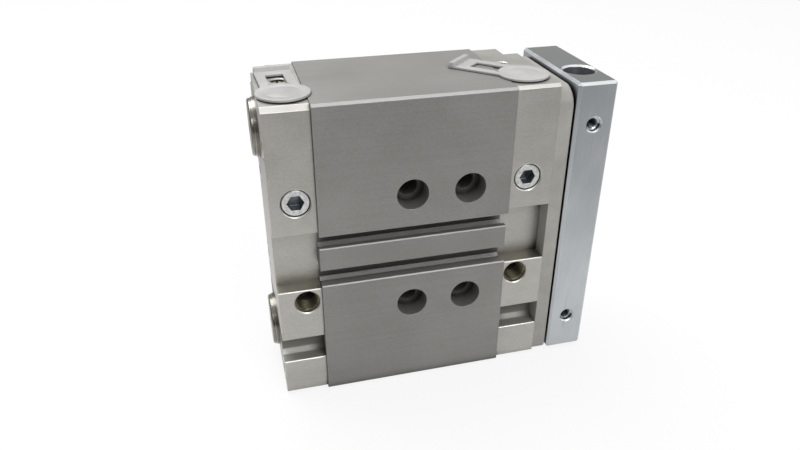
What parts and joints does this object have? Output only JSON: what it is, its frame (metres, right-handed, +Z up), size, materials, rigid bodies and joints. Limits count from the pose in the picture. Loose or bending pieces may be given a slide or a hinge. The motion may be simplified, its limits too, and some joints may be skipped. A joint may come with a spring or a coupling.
{
  "type": "guided pneumatic cylinder",
  "caption": "Compact pneumatic cylinder with twin guide rods, a slotted profile body between machined caps and a steel yoke plate.",
  "frame": {"origin": "middle of the profile's bottom face", "axes": "+X along the stroke, towards the yoke plate; +Y from the face with the mounting holes to the back; +Z up the body"},
  "size_m": [0.1196, 0.048, 0.1121],
  "materials": {
    "anodised": "matte clear anodised extrusion",
    "cap": "machined, satin",
    "cover": "moulded, warm light grey",
    "bush": "bearing compound",
    "seal": "satin",
    "screw": "blackened to zinc plated",
    "dark_plug": "threaded plug, satin",
    "brass_screw": "satin",
    "dust_plug": "translucent white",
    "plated_steel": "galvanised, satin",
    "rod": "hardened and ground",
    "piston": "turned",
    "magnet": "moulded magnet ring"
  },
  "bodies": {
    "housing": {"barrel_profile": "anodised", "end_cap": "cap", "bearing_cap": "cap", "bearing_cover": "cover", "guide_bush_front_upper": "bush", "guide_bush_front_lower": "bush", "guide_bush_rear_upper": "bush", "guide_bush_rear_lower": "bush", "rod_wiper_upper": "seal", "rod_wiper_lower": "seal", "piston_rod_bush": "bush", "piston_rod_seal": "seal", "cap_seal_rear": "seal", "cap_seal_front": "seal", "end_cap_screws": "screw", "bearing_cap_screws": "screw", "cover_screws": "screw", "port_plug_rear": "dark_plug", "port_plug_front": "dark_plug", "buffer_rear": "seal", "buffer_front": "seal"},
    "carriage": {"yoke_plate": "plated_steel", "guide_rod_upper": "rod", "guide_rod_lower": "rod", "guide_rod_screws": "screw", "piston_rod": "rod", "piston_rod_screw": "screw", "piston": "piston", "piston_magnet": "magnet", "piston_guide_ring": "bush", "piston_seal_rear": "seal", "piston_seal_front": "seal", "piston_nut": "screw"},
    "cushion_screw_rear": {"cushion_screw_rear": "brass_screw"},
    "dust_plug_rear": {"dust_plug_rear": "dust_plug"},
    "cushion_screw_front": {"cushion_screw_front": "brass_screw"},
    "dust_plug_front": {"dust_plug_front": "dust_plug"}
  },
  "joints": [
    {"name": "stroke", "type": "slide", "parent": "housing", "child": "carriage", "axis": [1, 0, 0], "range_m": [0, 0.03]},
    {"name": "cushion_rear", "type": "hinge", "parent": "housing", "child": "cushion_screw_rear", "pos_m": [-0.0401, 0.0035, 0.1097], "axis": [0, 0, 1], "range_deg": [-540, 540]},
    {"name": "dust_plug_pull_rear", "type": "slide", "parent": "housing", "child": "dust_plug_rear", "axis": [0, 0, 1], "range_m": [0, 0.008]},
    {"name": "cushion_front", "type": "hinge", "parent": "housing", "child": "cushion_screw_front", "pos_m": [0.038, 0.0035, 0.1097], "axis": [0, 0, 1], "range_deg": [-540, 540]},
    {"name": "dust_plug_pull_front", "type": "slide", "parent": "housing", "child": "dust_plug_front", "axis": [0, 0, 1], "range_m": [0, 0.008]}
  ]
}
